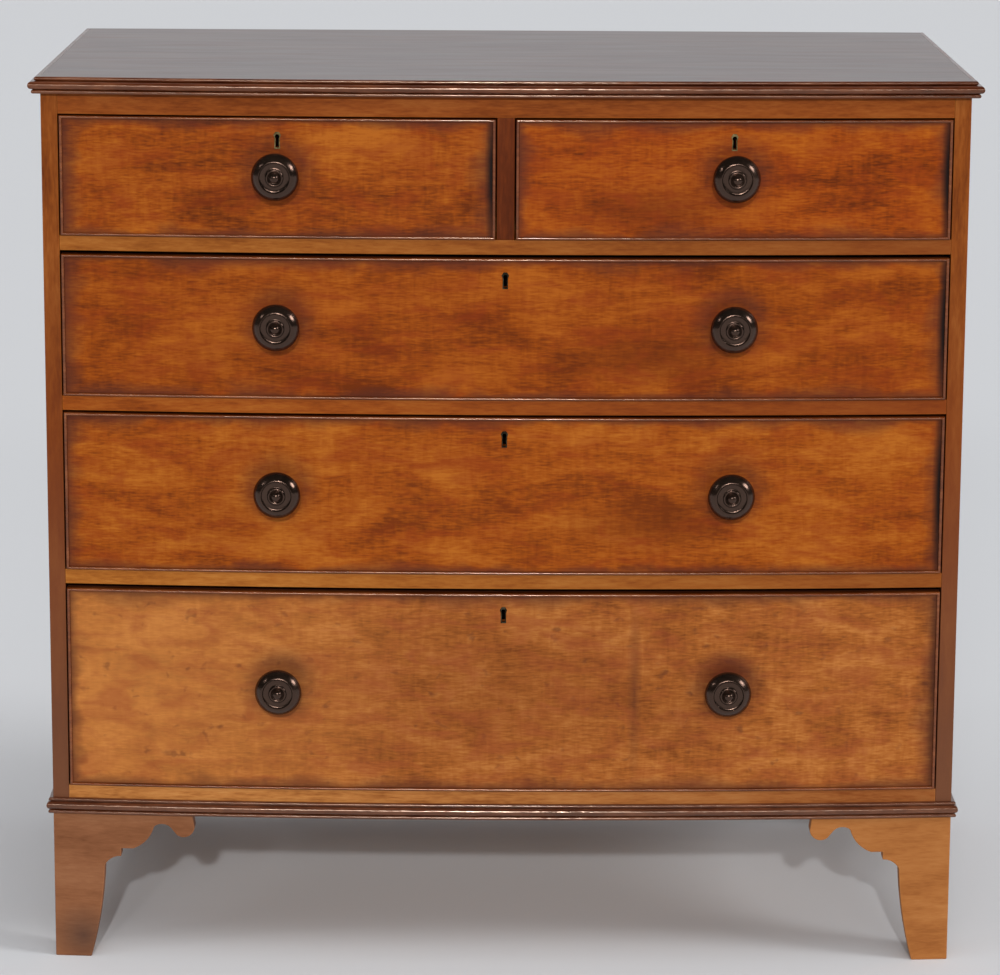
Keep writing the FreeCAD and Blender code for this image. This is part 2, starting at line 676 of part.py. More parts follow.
def cock_beads(drawer, x, z):
    """Four thin strips with rounded noses, let in round the front and mitred at its corners."""
    west, east = x
    low, high = z
    nose = "(bead_depth + bead_projection - bead_thickness / 2)"
    across = [("0", "0", 0), (nose, "0", 1), (nose, "bead_thickness", 0), ("0", "bead_thickness", 0)]
    section = flats(across)
    inmost = f"-{SIDE_FRONT} - bead_depth - cut_overrun"
    outmost = f"-{APEX} + cut_overrun"
    mitres = {}
    strips = []
    inset = "bead_thickness"
    wide = (west, east)
    narrow = (f"{west} + {inset}", f"{east} - {inset}")
    ends = (
        ("lower", low, wide, narrow),
        ("upper", f"({high} - {inset})", narrow, wide),
    )
    for level, strip_low, below_x, above_x in ends:
        mitre = doc.addObject("Part::Wedge", f"{drawer}_{level}_mitre")
        bind(mitre, Xmin=below_x[0], Xmax=below_x[1], X2min=above_x[0], X2max=above_x[1])
        bind(mitre, Ymin="0", Ymax="bead_thickness")
        bind(mitre, Zmin=inmost, Z2min=inmost, Zmax=outmost, Z2max=outmost)
        mitre.Placement.Rotation = UPENDED
        place(mitre, "0", "0", strip_low)
        mitres[level] = mitre
        strip = swept_round_bow(f"{drawer}_{level}_strip", section, BEAD_SEAT, strip_low)
        strips.append(common(f"{drawer}_{level}_bead", strip, mitre))
    seat = drum(f"{drawer}_bead_seat", BEAD_SEAT, (f"{low} - cut_overrun", f"{high} + cut_overrun"))
    for side, edge in (("west", west), ("east", f"({east} - {inset})")):
        nose_y = f"({bow_depth(f'{edge} + {inset} / 2')} - bead_projection)"
        upright = padded(f"{drawer}_{side}_strip", "XY_Plane", upright_bead(), f"{high} - ({low})")
        place(upright, edge, nose_y, low)
        strips.append(cut(f"{drawer}_{side}_bead", upright, mitres["lower"], mitres["upper"], seat))
    node(group(f"{drawer}_beads", *strips), f"{drawer}_cock_beads")


def upright_bead():
    """The section of an upright bead, with its nose towards the front and room behind for its seat."""
    wide = "bead_thickness"
    shoulder = "(bead_thickness / 2)"
    back = "(2 * bead_depth + bead_projection)"
    return flats([("0", shoulder, 1), (wide, shoulder, 0), (wide, back, 0), ("0", back, 0)])


def drawer_front(drawer, x, z, bottom_z, *fittings):
    """A curved front, rebated for its beads, grooved for its bottom and cut for its fittings."""
    edge = "bead_thickness"
    face_x = (f"{x[0]} + {edge}", f"{x[1]} - {edge}")
    face_z = (f"{z[0]} + {edge}", f"{z[1]} - {edge}")
    behind = f"{SIDE_FRONT} + cut_overrun"
    plank = bowed_board(f"{drawer}_plank", x, z, BEAD_SEAT, behind)
    face = bowed_board(f"{drawer}_face", face_x, face_z, BOW, behind)
    hollow = drum(f"{drawer}_hollow", FRONT_BACK, (f"{z[0]} - cut_overrun", f"{z[1]} + cut_overrun"))
    groove = drum(f"{drawer}_front_groove", f"({FRONT_BACK} + drawer_groove_depth)", bottom_z)
    whole = fuse(f"{drawer}_front_whole", plank, face)
    node(cut(f"{drawer}_front_cut", whole, hollow, groove, *fittings), f"{drawer}_front")


def side_spans(x):
    """Where the two sides of a drawer stand in its width."""
    west = (x[0], f"({x[0]} + drawer_side_thickness)")
    east = (f"({x[1]} - drawer_side_thickness)", x[1])
    return {"west": west, "east": east}


def side_tails(drawer, x, z, count):
    """The dovetails of both drawer sides, wider at their tips, which the front is socketed for."""
    tails = {}
    pitch = f"(({z[1]} - drawer_side_drop - {z[0]}) / {count})"
    half = f"{TAIL_SHARE} / 2 * {pitch}"
    for side, side_x in side_spans(x).items():
        tip = f"{bow_depth(f'({side_x[0]} + {side_x[1]}) / 2', FRONT_BACK)} - tail_length"
        tails[side] = []
        for row in range(count):
            tail = doc.addObject("Part::Wedge", f"{drawer}_{side}_tail_{row}")
            bind(tail, Xmin="0", X2min="0", Xmax="drawer_side_thickness", X2max="drawer_side_thickness")
            bind(tail, Ymin="0", Ymax="2 * tail_length")
            bind(tail, Zmin=f"-{half} - tail_flare", Zmax=f"{half} + tail_flare")
            bind(tail, Z2min=f"tail_flare - {half}", Z2max=f"{half} - tail_flare")
            place(tail, side_x[0], tip, f"{z[0]} + ({row} + 1 / 2) * {pitch}")
            tails[side].append(tail)
    return tails


def drawer_box(drawer, x, z, bottom_z, tails):
    """Two sides dovetailed to the front and grooved for the bottom, and a back that stands on it."""
    side_z = (z[0], f"{z[1]} - drawer_side_drop")
    spans = side_spans(x)
    inside_x = (spans["west"][1], spans["east"][0])
    groove_x = (f"{inside_x[0]} - drawer_groove_depth", f"{inside_x[1]} + drawer_groove_depth")
    back_y = (f"{BOX_BACK} - drawer_back_thickness", BOX_BACK)
    front_groove = f"({FRONT_BACK} + drawer_groove_depth)"
    panel = bowed_board(f"{drawer}_panel", groove_x, bottom_z, front_groove, BOX_BACK)
    sides = []
    for side, side_x in spans.items():
        blank = bowed_board(f"{drawer}_{side}_board", side_x, side_z, FRONT_BACK, BOX_BACK)
        tailed = fuse(f"{drawer}_{side}_tailed", blank, *tails[side])
        sides.append(cut(f"{drawer}_{side}_side", tailed, panel))
    back_z = (bottom_z[1], f"{z[1]} - drawer_side_drop - drawer_back_drop")
    back = board(f"{drawer}_back", inside_x, back_y, back_z)
    node(group(f"{drawer}_boards", *sides, back), f"{drawer}_box")
    node(panel, f"{drawer}_bottom")


def drawer(name, x, floor, height, tail_count, stations, lock_station):
    """One drawer in its opening, from its floor up."""
    knob, hole = doc.getObject("turned_knob"), doc.getObject("knob_hole")
    z = (f"({floor} + running_gap)", f"({floor} + {height})")
    bottom_low = f"({z[0]} + drawer_bottom_lift)"
    bottom_z = (bottom_low, f"({bottom_low} + drawer_bottom_thickness)")
    knob_z = f"({z[0]} + {z[1]}) / 2 + knob_lift"
    knobs = [fitted(f"{name}_knob_{station}", knob, station, knob_z) for station in stations]
    holes = [fitted(f"{name}_knob_hole_{station}", hole, station, knob_z) for station in stations]
    lock_cuts = lock_set(name, lock_station, z[1])
    tails = side_tails(name, x, z, tail_count)
    drawer_front(name, x, z, bottom_z, *holes, *lock_cuts, *tails["west"], *tails["east"])
    cock_beads(name, x, z)
    drawer_box(name, x, z, bottom_z, tails)
    node(group(f"{name}_knob_group", *knobs), f"{name}_knobs")


def all_drawers():
    turned_knob()
    knob_spigot("knob_hole", "-cut_overrun", "(front_thickness + cut_overrun)")
    left, right = "-knob_offset", "knob_offset"
    outer = f"({INNER} - drawer_side_gap)"
    inner = "(divider_width / 2 + drawer_side_gap)"
    short_height = "(short_opening - short_headroom)"
    short_left_x = (f"(-{outer})", f"(-{inner})")
    drawer("short_left", short_left_x, SHORT_FLOOR, short_height, 2, [left], left)
    drawer("short_right", (inner, outer), SHORT_FLOOR, short_height, 2, [right], right)
    long_drawers = (
        ("second", SECOND_FLOOR, "(second_opening - second_headroom)", 3),
        ("third", THIRD_FLOOR, "(third_opening - third_headroom)", 3),
        ("bottom", BOTTOM_FLOOR, "(bottom_opening - bottom_headroom)", 4),
    )
    for name, floor, height, tail_count in long_drawers:
        drawer(name, (f"(-{outer})", outer), floor, height, tail_count, [left, right], "0")


def check_and_write():
    """Stops on any failed object, then writes each piece to a file of its own."""
    doc.recompute()
    for thing in doc.Objects:
        if "Invalid" in thing.State or "Error" in thing.State:
            raise RuntimeError(f"{thing.Label} failed: {thing.State}")
    for thing in NODES:
        for piece in getattr(thing, "Links", [thing]):
            if piece.Shape.isNull() or not piece.Shape.isValid() or not piece.Shape.Solids:
                raise RuntimeError(f"{piece.Label} has no sound solid")
    os.makedirs("parts", exist_ok=True)
    for thing in NODES:
        thing.Shape.exportStep(f"parts/{thing.Label}.step")


housed_levels = {
    "top": (TOP_RAIL_LOW, TOP_LOW),
    "upper": below(SHORT_FLOOR),
    "middle": below(SECOND_FLOOR),
    "lower": below(THIRD_FLOOR),
    "bottom": (f"{BOTTOM_FLOOR} - bottom_rail_show", BOTTOM_FLOOR),
}
carcass_boards()
carcass_sides(housed_levels)
front_frame()
runners_and_dust_boards()
drawer_stops()
reeded_strips("top_mouldings", TOP_REED_SHARES, "top_overhang", TOP_LOW, "top_thickness")
reeded_strips("base_mouldings", BASE_REED_SHARES, "base_projection", BASE, "base_moulding_height")
bracket_feet()
all_drawers()
check_and_write()
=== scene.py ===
# A bow front chest of drawers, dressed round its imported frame. The file goes through the chest as it
# is put together: carcass, top, base and feet, then the drawers with their beads, knobs and locks.
import json
import math

import bmesh
import bpy
from mathutils import Matrix, Vector, noise

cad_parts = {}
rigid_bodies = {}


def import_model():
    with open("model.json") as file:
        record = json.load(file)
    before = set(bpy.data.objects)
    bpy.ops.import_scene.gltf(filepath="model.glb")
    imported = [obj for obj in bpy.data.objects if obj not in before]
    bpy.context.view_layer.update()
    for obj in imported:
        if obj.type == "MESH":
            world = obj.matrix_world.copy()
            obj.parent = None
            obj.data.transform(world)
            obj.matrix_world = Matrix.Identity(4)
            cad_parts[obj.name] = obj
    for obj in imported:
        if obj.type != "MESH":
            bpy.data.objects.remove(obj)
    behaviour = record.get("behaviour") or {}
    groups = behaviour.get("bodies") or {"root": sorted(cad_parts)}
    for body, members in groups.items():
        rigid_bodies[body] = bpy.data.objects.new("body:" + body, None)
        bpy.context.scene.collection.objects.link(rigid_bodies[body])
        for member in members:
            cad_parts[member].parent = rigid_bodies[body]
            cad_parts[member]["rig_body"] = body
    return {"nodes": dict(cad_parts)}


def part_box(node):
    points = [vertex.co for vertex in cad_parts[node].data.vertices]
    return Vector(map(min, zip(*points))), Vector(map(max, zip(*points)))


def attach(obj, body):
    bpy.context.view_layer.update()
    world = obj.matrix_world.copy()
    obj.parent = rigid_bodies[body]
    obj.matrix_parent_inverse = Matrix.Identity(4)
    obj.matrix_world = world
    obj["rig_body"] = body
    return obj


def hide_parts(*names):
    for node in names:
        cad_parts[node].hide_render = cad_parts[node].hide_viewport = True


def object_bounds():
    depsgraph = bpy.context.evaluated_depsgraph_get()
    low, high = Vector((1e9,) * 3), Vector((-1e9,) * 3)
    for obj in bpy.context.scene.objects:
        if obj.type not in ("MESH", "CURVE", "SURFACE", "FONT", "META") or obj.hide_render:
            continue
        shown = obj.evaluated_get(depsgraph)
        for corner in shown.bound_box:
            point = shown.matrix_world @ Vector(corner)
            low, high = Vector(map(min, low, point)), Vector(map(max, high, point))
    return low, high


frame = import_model()
cad_low, cad_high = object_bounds()

# Sides: two upright boards of solid mahogany, whose narrow front edges show beside the drawers.
# They are grooved inside for rails and runners, and a century of hands has softened their arrises.
UPRIGHT_GRAIN = 2
WHITE = (1, 1, 1, 1)
MIX_FACTOR = 0
MIX_UNDER = 6
MIX_OVER = 7
MIX_RESULT = 2

# Marks in the wood: how long each is with the grain and how wide across it, in metres.
PATCH = (0.14, 0.045)
STREAK = (0.045, 0.0055)
FLECK = (0.011, 0.0018)
RIPPLE = (0.006, 0.03)
DARK_TONE = 0.24
MIDDLE_TONE = 0.5
LIGHT_TONE = 0.76
ARRIS_PALING = 0.35
CLOUDING = 0.24
FLECK_RELIEF = 0.6
GRAIN_DEPTH = 0.0004

ARRIS_EASE = 0.0009
LEAST_ARRIS = 0.012
MERGE_GAP = 0.00001
FLAT_ANGLE = math.radians(0.2)
SHARP_ANGLE = math.radians(35)


def paint(red, green, blue):
    """A colour as the eye names it, from 0 to 255, in the light values that shaders take."""
    return tuple(
        share / 12.92 if share <= 0.04045 else ((share + 0.055) / 1.055) ** 2.4
        for share in (red / 255, green / 255, blue / 255)
    ) + (1,)


def fresh(name):
    """A new finish, and the shader that gives it its looks."""
    finish = bpy.data.materials.new(name)
    finish.use_nodes = True
    return finish, finish.node_tree.nodes["Principled BSDF"]


def feed(finish, shader, sockets):
    """Sets each socket of a shader to a given value, or feeds it from a step of the finish's pattern."""
    for socket, value in dict(sockets).items():
        if isinstance(value, bpy.types.NodeSocket):
            finish.node_tree.links.new(value, shader.inputs[socket])
        else:
            shader.inputs[socket].default_value = value


def step(finish, kind, sockets=(), **settings):
    """One step of a finish's pattern."""
    made = finish.node_tree.nodes.new(f"ShaderNode{kind}")
    for setting, value in settings.items():
        setattr(made, setting, value)
    feed(finish, made, sockets)
    return made


def reckon(finish, operation, *terms):
    """Arithmetic between the steps of a finish."""
    return step(finish, "Math", enumerate(terms), operation=operation).outputs[0]


def ramp(finish, factor, *stops):
    """Colours or levels spread over a factor, each stop a place from 0 to 1 and what stands there."""
    made = step(finish, "ValToRGB", {"Fac": factor})
    band = made.color_ramp.elements
    while len(band) < len(stops):
        band.new(1)
    for stop, (place, colour) in zip(band, stops):
        stop.position = place
        stop.color = colour if isinstance(colour, tuple) else (colour, colour, colour, 1)
    return made.outputs["Color"]


def blend(finish, factor, under, over):
    """One colour laid over another by a factor."""
    sockets = {MIX_FACTOR: factor, MIX_UNDER: under, MIX_OVER: over}
    return step(finish, "Mix", sockets, data_type="RGBA").outputs[MIX_RESULT]


def speckle(finish, spacing, detail, distortion=0, shift=0):
    """Cloudy noise whose marks are about as long in each direction as the spacing, in metres."""
    place = step(finish, "TexCoord").outputs["Object"]
    scale = tuple(1 / size for size in spacing)
    stretched = step(finish, "Mapping", {"Vector": place, "Scale": scale, "Location": (shift,) * 3})
    sockets = {"Vector": stretched.outputs["Vector"], "Scale": 1}
    sockets.update({"Detail": detail, "Distortion": distortion})
    return step(finish, "TexNoise", sockets).outputs[0]


def along_grain(grain, length, width):
    """Spacing of a mark that is long with the grain and narrow across it."""
    return tuple(length if axis == grain else width for axis in range(3))


def wood(name, grain, shades, shift, patch=PATCH, cloud=0.6, streak=0.5, fleck=0.35, ripple=0,
         gloss=0.4, shine=0.1, tint=WHITE, dents=0.2):
    """Old timber: soft patches, streaks along the grain, short flecks and, in some, ripples across it."""
    finish, shader = fresh(name)
    patches = speckle(finish, along_grain(grain, *patch), detail=3, distortion=0.7, shift=shift)
    streaks = speckle(finish, along_grain(grain, *STREAK), detail=3, distortion=0.3, shift=shift)
    flecks = speckle(finish, along_grain(grain, *FLECK), detail=2, shift=shift)
    ripples = speckle(finish, along_grain(grain, *RIPPLE), detail=2, distortion=0.6, shift=shift)
    tone = MIDDLE_TONE - (cloud + streak + fleck + ripple) / 2
    for marks, share in ((patches, cloud), (streaks, streak), (flecks, fleck), (ripples, ripple)):
        tone = reckon(finish, "MULTIPLY_ADD", marks, share, tone)
    dark, middle, light = shades
    colour = ramp(finish, tone, (DARK_TONE, dark), (MIDDLE_TONE, middle), (LIGHT_TONE, light))
    # Rounded arrises are painted paler: partly wear, partly painted highlight.
    paled_arris = step(finish, "Attribute", attribute_name="arris").outputs["Fac"]
    relief = reckon(finish, "MULTIPLY_ADD", flecks, FLECK_RELIEF, streaks)
    bump = step(finish, "Bump", {"Height": relief, "Strength": dents, "Distance": GRAIN_DEPTH})
    feed(finish, shader, {
        "Base Color": blend(finish, reckon(finish, "MULTIPLY", paled_arris, ARRIS_PALING), colour, light),
        "Roughness": reckon(finish, "MULTIPLY_ADD", patches, CLOUDING, gloss - CLOUDING / 2),
        "Normal": bump.outputs["Normal"],
        "Specular IOR Level": shine,
        "Specular Tint": tint,
    })
    return finish


def stained(finish, factor, shade):
    """Lays a stain over a finish, as strong as a factor."""
    shader = finish.node_tree.nodes["Principled BSDF"]
    under = shader.inputs["Base Color"].links[0].from_socket
    feed(finish, shader, {"Base Color": blend(finish, factor, under, shade)})


def blot(finish, centre, size, strength):
    """A soft-edged blot about a place, reaching as far in each direction as its size."""
    place = step(finish, "TexCoord").outputs["Object"]
    scale = tuple(1 / reach for reach in size)
    shift = tuple(-middle / reach for middle, reach in zip(centre, size))
    spot = step(finish, "Mapping", {"Vector": place, "Location": shift, "Scale": scale}).outputs["Vector"]
    gap = step(finish, "VectorMath", {0: spot}, operation="LENGTH").outputs["Value"]
    fade = reckon(finish, "MULTIPLY_ADD", gap, -strength, strength)
    return step(finish, "Clamp", {"Value": fade}).outputs[0]


def fit(piece, node, finish):
    """A finished piece takes a CAD piece's place, on the same body."""
    piece.data.materials.append(finish)
    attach(piece, frame["nodes"][node]["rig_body"])
    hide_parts(node)


def placed(name, data):
    """A mesh, a lamp or the camera as an object of the scene."""
    item = bpy.data.objects.new(name, data)
    bpy.context.scene.collection.objects.link(item)
    return item


def shown(name, shape):
    """A worked shape as an object of the scene, smooth but for its sharp edges."""
    mesh = bpy.data.meshes.new(name)
    shape.to_mesh(mesh)
    shape.free()
    mesh.polygons.foreach_set("use_smooth", [True] * len(mesh.polygons))
    mesh.set_sharp_from_angle(angle=SHARP_ANGLE)
    piece = placed(name, mesh)
    piece.modifiers.new("even_faces", "WEIGHTED_NORMAL").keep_sharp = True
    return piece


def eased(node, finish, ease=ARRIS_EASE, least=LEAST_ARRIS, joint=None):
    """A CAD piece with its long arrises rounded over; faces inside a glued joint are left out."""
    shape = bmesh.new()
    shape.from_mesh(frame["nodes"][node].data)
    bmesh.ops.remove_doubles(shape, verts=shape.verts, dist=MERGE_GAP)
    if joint:
        corner, normal = joint
        glued = []
        for face in shape.faces:
            if all(abs((vert.co - corner).dot(normal)) < MERGE_GAP for vert in face.verts):
                glued.append(face)
        bmesh.ops.delete(shape, geom=glued, context="FACES")
    bmesh.ops.dissolve_limit(shape, angle_limit=FLAT_ANGLE, verts=shape.verts, edges=shape.edges)
    # Rounded faces are marked here, and the finish paints them paler: wear with a painted highlight.
    pale_layer = shape.faces.layers.float.new("arris")
    arrises = []
    for edge in shape.edges:
        paired = len(edge.link_faces) == 2
        if paired and edge.calc_face_angle() > SHARP_ANGLE and edge.calc_length() > least:
            arrises.append(edge)
    rounded = bmesh.ops.bevel(shape, geom=arrises, offset=ease, segments=3, profile=0.5, affect="EDGES")
    for face in rounded["faces"]:
        face[pale_layer] = 1
    fit(shown(f"{node}_worked", shape), node, finish)


# The sides are redder about the waist and scuffed towards the floor: height, reach, strength and shade.
SIDE_STAIN_WIDE = 3
side_shades = (paint(94, 40, 8), paint(132, 67, 18), paint(156, 90, 36))
side_stains = (
    (0.50, 0.34, 0.8, paint(108, 48, 19)),
    (0.18, 0.42, 1.1, paint(104, 66, 46)),
)
for node, shift in (("left_side", 3.1), ("right_side", 7.7)):
    finish = wood(f"{node}_mahogany", UPRIGHT_GRAIN, side_shades, shift, cloud=0.8, streak=0.45)
    for height, reach, strength, shade in side_stains:
        size = (SIDE_STAIN_WIDE, SIDE_STAIN_WIDE, reach)
        stained(finish, blot(finish, (0, 0, height), size, strength), shade)
    eased(node, finish)

# Rails: five bowed strips across the front, housed in the sides, with the grain running across.
# Each is faced with its own length of straight-grained mahogany, some redder, some paler, and all but
# the top one darken towards the right.
FRONT_GRAIN = 0
FAR = 9
RAIL_STAIN_PLACE = (0.5, 0, 0.5)
RAIL_STAIN_SIZE = (0.75, FAR, FAR)
RAIL_STAIN_STRENGTH = 0.65
rail_stain = paint(112, 48, 15)
rail_shades = {
    "top_rail": (paint(108, 48, 8), paint(136, 67, 18), paint(152, 84, 30)),
    "upper_rail": (paint(120, 60, 14), paint(148, 84, 28), paint(166, 102, 42)),
    "middle_rail": (paint(112, 48, 6), paint(144, 70, 15), paint(162, 90, 28)),
    "lower_rail": (paint(130, 68, 18), paint(161, 95, 33), paint(178, 114, 48)),
    "bottom_rail": (paint(134, 76, 30), paint(176, 113, 56), paint(192, 132, 72)),
}
for count, (node, shades) in enumerate(rail_shades.items()):
    finish = wood(f"{node}_mahogany", FRONT_GRAIN, shades, shift=11.3 + count, streak=0.6, fleck=0.5)
    if node != "top_rail":
        darker = blot(finish, RAIL_STAIN_PLACE, RAIL_STAIN_SIZE, RAIL_STAIN_STRENGTH)
        stained(finish, darker, rail_stain)
    eased(node, finish)

# Divider: the short upright between the two short drawers, tenoned into the rails above and below.
# It is of a much darker, redder wood than the rails.
divider_shades = (paint(66, 24, 4), paint(90, 36, 6), paint(112, 50, 12))
divider_wood = wood("divider_mahogany", UPRIGHT_GRAIN, divider_shades, shift=5.2)
eased("centre_divider", divider_wood)

# Top: a wide mahogany board with a bowed front, glued over the sides and rails.
# Its old polish has gone dull, and a film of dust catches the light of the room in a pale soft sheen.
CRISP_EASE = 0.0004
top_shades = (paint(62, 36, 26), paint(86, 54, 42), paint(108, 74, 60))
top_wood = wood("top_mahogany", FRONT_GRAIN, top_shades, shift=21.4, gloss=0.5, shine=0)
dusty_sheen = {"Sheen Weight": 0.56, "Sheen Roughness": 0.4, "Sheen Tint": paint(236, 238, 242)}
feed(top_wood, top_wood.node_tree.nodes["Principled BSDF"], dusty_sheen)


def clouded(finish, spacing, detail, distortion, shift, edge, heart, shade):
    """Stains a finish in cloudy marks; edge and heart are places in the noise and strengths there."""
    marks = speckle(finish, spacing, detail, distortion, shift)
    stained(finish, ramp(finish, marks, edge, heart), shade)


clouded(top_wood, spacing=(0.16, 0.022, 0.16), detail=6, distortion=0.6, shift=23.9,
        edge=(0.3, 0.15), heart=(0.7, 0.5), shade=paint(126, 124, 122))
eased("top_board", top_wood, CRISP_EASE)

# Reeded strips: a small reed, a bold reed and another small one, run along the front and both ends of
# the top and of the base, mitred at the front corners. Wear has broken their crowns into bright dashes.
REED_STEPS = 9
STRIP_STEP = 0.006
REED_DENT = 0.0002
polish_tint = paint(255, 224, 200)

# Each reed's seat as a share of the strip's projection, then its foot and head as shares of its height.
TOP_REED_SHARES = ((0.544, 0, 0.244), (0.672, 0.272, 0.728), (0.304, 0.756, 1))
BASE_REED_SHARES = ((0.43, 0, 0.24), (0.357, 0.26, 0.76), (0.357, 0.78, 1))

# Dents to the metre along a strip and across it, and where in the noise they are taken from.
FINE_DENTS = (70, 400, 3.7)
BROAD_DENTS = (16, 90, 9.1)

# The bow's one centre, from the front corners of the sides and the foremost point of a rail.
side_low, side_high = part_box("left_side")
rail_low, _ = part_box("top_rail")
half_opening = -side_high.x
half_width = -side_low.x
bow_sag = side_low.y - rail_low.y
bow_radius = (half_opening ** 2 + bow_sag ** 2) / (2 * bow_sag)
bow_centre = rail_low.y + bow_radius
carcass_back = cad_high.y


def polished(name, shades, shift):
    """Dark mahogany under a hard old polish, which mirrors the lamps in warm dashes."""
    return wood(name, FRONT_GRAIN, shades, shift, gloss=0.18, shine=1, tint=polish_tint, dents=0.5)


def bow_front(x, out=0):
    """How far forward the bow stands at a place across the chest, or an even distance outside it."""
    return bow_centre - math.sqrt((bow_radius + out) ** 2 - x ** 2)


def skinned(name, runs):
    """An object of closed runs, each a row of rings of points with an end at either side."""
    shape = bmesh.new()
    for rings in runs:
        loops = [[shape.verts.new(point) for point in ring] for ring in rings]
        for loop, following in zip(loops, loops[1:]):
            for index in range(len(loop)):
                after = (index + 1) % len(loop)
                shape.faces.new((loop[index], loop[after], following[after], following[index]))
        shape.faces.new(reversed(loops[0]))
        shape.faces.new(loops[-1])
    bmesh.ops.recalc_face_normals(shape, faces=shape.faces)
    return shown(name, shape)


def steps_between(start, end, length):
    """Even places from a start to an end, about a length apart."""
    count = max(1, math.ceil(abs(end - start) / length))
    return [start + (end - start) * index / count for index in range(count + 1)]


def reed_section(reed_shares, projection, height):
    """The strip's section as distances out and up, its reeds half round."""
    section = [(0, 0)]
    for seat, low, high in reed_shares:
        middle = (low + high) / 2 * height
        tall = (high - low) / 2 * height
        for index in range(REED_STEPS):
            turn = math.pi * index / (REED_STEPS - 1)
            out = seat * projection + tall * math.sin(turn)
            section.append((min(out, projection), middle - tall * math.cos(turn)))
    return section + [(0, height)]


def worn_back(out, along, across, depth):
    """A distance out from the carcass, less the dents and rubbing of use."""
    dent = 0
    for lengthways, crossways, start in (FINE_DENTS, BROAD_DENTS):
        dent += noise.noise(Vector((along * lengthways, across * crossways, start)))
    return out - depth * max(0, dent) if out > 0 else out


def reeded_strips(node, reed_shares, shades, shift):
    """One strip along the front and one down each end, mitred where they meet."""
    low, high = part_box(node)
    section = reed_section(reed_shares, high.x - half_width, high.z - low.z)
    front = []
    for share in steps_between(-1, 1, STRIP_STEP / half_width):
        ring = []
        for out, up in section:
            x = share * (half_width + out)
            ring.append((x, bow_front(x, worn_back(out, x, up, REED_DENT)), low.z + up))
        front.append(ring)
    runs = [front]
    corner = max(bow_front(half_width + out, out) for out, _ in section)
    for side in (-1, 1):
        end = []
        for share in steps_between(0, 1, STRIP_STEP / (carcass_back - corner)):
            ring = []
            for out, up in section:
                mitre = bow_front(half_width + out, out)
                y = mitre + share * (carcass_back - mitre)
                ring.append((side * (half_width + worn_back(out, y, up, REED_DENT)), y, low.z + up))
            end.append(ring)
        runs.append(end)
    finish = polished(f"{node}_mahogany", shades, shift)
    fit(skinned(f"{node}_reeded", runs), node, finish)


top_strip_shades = (paint(50, 18, 6), paint(82, 36, 14), paint(114, 62, 34))
base_strip_shades = (paint(46, 18, 9), paint(80, 40, 22), paint(114, 66, 42))
reeded_strips("top_mouldings", TOP_REED_SHARES, top_strip_shades, shift=31.9)
reeded_strips("base_mouldings", BASE_REED_SHARES, base_strip_shades, shift=37.2)

# Inside the carcass: back boards, bottom, runners, dust boards and stops of plain pine, left bare.
# Nobody was meant to see them, so they are only planed, and have gone brown with age and dust.
DEPTH_GRAIN = 1
PINE_GLOSS = 0.75
pine_shades = (paint(112, 72, 40), paint(158, 112, 68), paint(186, 142, 94))
pine_across = wood("bare_pine_across", FRONT_GRAIN, pine_shades, shift=41.1, gloss=PINE_GLOSS)
pine_deep = wood("bare_pine_deep", DEPTH_GRAIN, pine_shades, shift=43.6, gloss=PINE_GLOSS)
pine_upright = wood("bare_pine_upright", UPRIGHT_GRAIN, pine_shades, shift=47.5, gloss=PINE_GLOSS)


def dressed(node, finish):
    """A CAD piece keeps its own shape and takes a finish."""
    frame["nodes"][node].data.materials[0] = finish


for node in ("bottom_board", "dust_boards", "drawer_stops"):
    dressed(node, pine_across)
dressed("drawer_runners", pine_deep)
dressed("foot_blocks", pine_upright)
eased("back_boards", pine_upright)

# Feet: scrolled brackets of solid mahogany, mitred at the front corners and backed by pine blocks.
# Mops and boots have bleached them, so they are drier and duller than the polished front, and have
# left a dark mark low on the left one.
FOOT_EASE = 0.0012
LEAST_FOOT_ARRIS = 0.0008
BRACKET_THICK = 0.020
FOOT_MARK_SIZE = (0.04, 0.2, 0.04)
FOOT_MARK_STRENGTH = 0.8
foot_mark_place = (-0.466, bow_front(half_width), 0.024)
foot_mark = paint(72, 52, 44)
foot_shades = {
    "front_left_foot": (paint(104, 62, 36), paint(132, 84, 54), paint(150, 102, 70)),
    "front_right_foot": (paint(128, 72, 30), paint(160, 100, 50), paint(178, 120, 68)),
    "rear_feet": (paint(92, 54, 36), paint(134, 86, 56), paint(160, 110, 76)),
}
foot_woods = {}
for count, (node, shades) in enumerate(foot_shades.items()):
    finish = wood(f"{node}_mahogany", FRONT_GRAIN, shades, 51.7 + count, streak=0.3, fleck=0.25, gloss=0.55)
    stained(finish, blot(finish, foot_mark_place, FOOT_MARK_SIZE, FOOT_MARK_STRENGTH), foot_mark)
    foot_woods[node] = finish
dressed("rear_feet", foot_woods["rear_feet"])
for node, side in (("front_left_foot", -1), ("front_right_foot", 1)):
    corner = Vector((side * half_width, bow_front(half_width), 0))
    inside = half_width - BRACKET_THICK
    inner = Vector((side * inside, bow_front(inside, -BRACKET_THICK), 0))
    normal = (inner - corner).cross(Vector((0, 0, 1))).normalized()
    eased(node, foot_woods[node], FOOT_EASE, LEAST_FOOT_ARRIS, (corner, normal))
